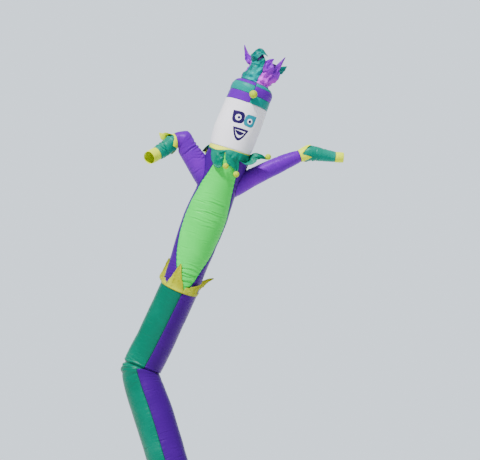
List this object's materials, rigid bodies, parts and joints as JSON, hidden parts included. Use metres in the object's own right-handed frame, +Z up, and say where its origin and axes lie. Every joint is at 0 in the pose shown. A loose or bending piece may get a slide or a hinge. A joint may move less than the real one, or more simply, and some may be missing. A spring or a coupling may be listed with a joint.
{
  "type": "inflatable air dancer",
  "caption": "Tall open cloth tube figure for an air blower, bent at knee and waist, with two sleeves, a pointed collar, a printed face, a chequered hat and a crown of loose points.",
  "frame": {"origin": "centre of the open mouth at the bottom hem, on the floor", "axes": "+Z up; the face looks towards -Y; +X is to the viewer's right"},
  "size_m": [2.5571, 1.0498, 5.8103],
  "materials": {
    "belly_panel": "thin glossy nylon, slightly creased",
    "collar": "thin glossy nylon, slightly creased",
    "collar_ball_1": "stuffed cloth ball",
    "collar_ball_2": "stuffed cloth ball",
    "collar_ball_3": "stuffed cloth ball",
    "collar_ball_4": "stuffed cloth ball",
    "collar_ball_5": "stuffed cloth ball",
    "collar_ball_6": "stuffed cloth ball",
    "crown_back_left": "thin glossy nylon, slightly creased",
    "crown_back_right": "thin glossy nylon, slightly creased",
    "crown_front_left": "thin glossy nylon, slightly creased",
    "crown_front_right": "thin glossy nylon, slightly creased",
    "cuff_left": "thin glossy nylon, slightly creased",
    "cuff_right": "thin glossy nylon, slightly creased",
    "glove_left": "thin glossy nylon, slightly creased",
    "glove_right": "thin glossy nylon, slightly creased",
    "hand_left": "thin glossy nylon, slightly creased",
    "hand_right": "thin glossy nylon, slightly creased",
    "hat_ball": "stuffed cloth ball",
    "hat_low_back_left": "thin glossy nylon, slightly creased",
    "hat_low_back_right": "thin glossy nylon, slightly creased",
    "hat_low_front_left": "thin glossy nylon, slightly creased",
    "hat_low_front_right": "thin glossy nylon, slightly creased",
    "hat_middle_back_left": "thin glossy nylon, slightly creased",
    "hat_middle_back_right": "thin glossy nylon, slightly creased",
    "hat_middle_front_left": "thin glossy nylon, slightly creased",
    "hat_middle_front_right": "thin glossy nylon, slightly creased",
    "hat_top_back_left": "thin glossy nylon, slightly creased",
    "hat_top_back_right": "thin glossy nylon, slightly creased",
    "hat_top_front_left": "thin glossy nylon, slightly creased",
    "hat_top_front_right": "thin glossy nylon, slightly creased",
    "head": "thin glossy nylon, slightly creased",
    "leg_green": "thin glossy nylon, slightly creased",
    "leg_purple": "thin glossy nylon, slightly creased",
    "neck_band": "thin glossy nylon, slightly creased",
    "sleeve_left": "thin glossy nylon, slightly creased",
    "sleeve_right": "thin glossy nylon, slightly creased",
    "torso_left": "thin glossy nylon, slightly creased",
    "torso_right": "thin glossy nylon, slightly creased",
    "waist_points_left": "thin glossy nylon, slightly creased",
    "waist_points_right": "thin glossy nylon, slightly creased"
  },
  "bodies": {
    "root": {"belly_panel": "belly_panel", "collar": "collar", "collar_ball_1": "collar_ball_1", "collar_ball_2": "collar_ball_2", "collar_ball_3": "collar_ball_3", "collar_ball_4": "collar_ball_4", "collar_ball_5": "collar_ball_5", "collar_ball_6": "collar_ball_6", "crown_back_left": "crown_back_left", "crown_back_right": "crown_back_right", "crown_front_left": "crown_front_left", "crown_front_right": "crown_front_right", "cuff_left": "cuff_left", "cuff_right": "cuff_right", "glove_left": "glove_left", "glove_right": "glove_right", "hand_left": "hand_left", "hand_right": "hand_right", "hat_ball": "hat_ball", "hat_low_back_left": "hat_low_back_left", "hat_low_back_right": "hat_low_back_right", "hat_low_front_left": "hat_low_front_left", "hat_low_front_right": "hat_low_front_right", "hat_middle_back_left": "hat_middle_back_left", "hat_middle_back_right": "hat_middle_back_right", "hat_middle_front_left": "hat_middle_front_left", "hat_middle_front_right": "hat_middle_front_right", "hat_top_back_left": "hat_top_back_left", "hat_top_back_right": "hat_top_back_right", "hat_top_front_left": "hat_top_front_left", "hat_top_front_right": "hat_top_front_right", "head": "head", "leg_green": "leg_green", "leg_purple": "leg_purple", "neck_band": "neck_band", "sleeve_left": "sleeve_left", "sleeve_right": "sleeve_right", "torso_left": "torso_left", "torso_right": "torso_right", "waist_points_left": "waist_points_left", "waist_points_right": "waist_points_right"}
  },
  "joints": []
}
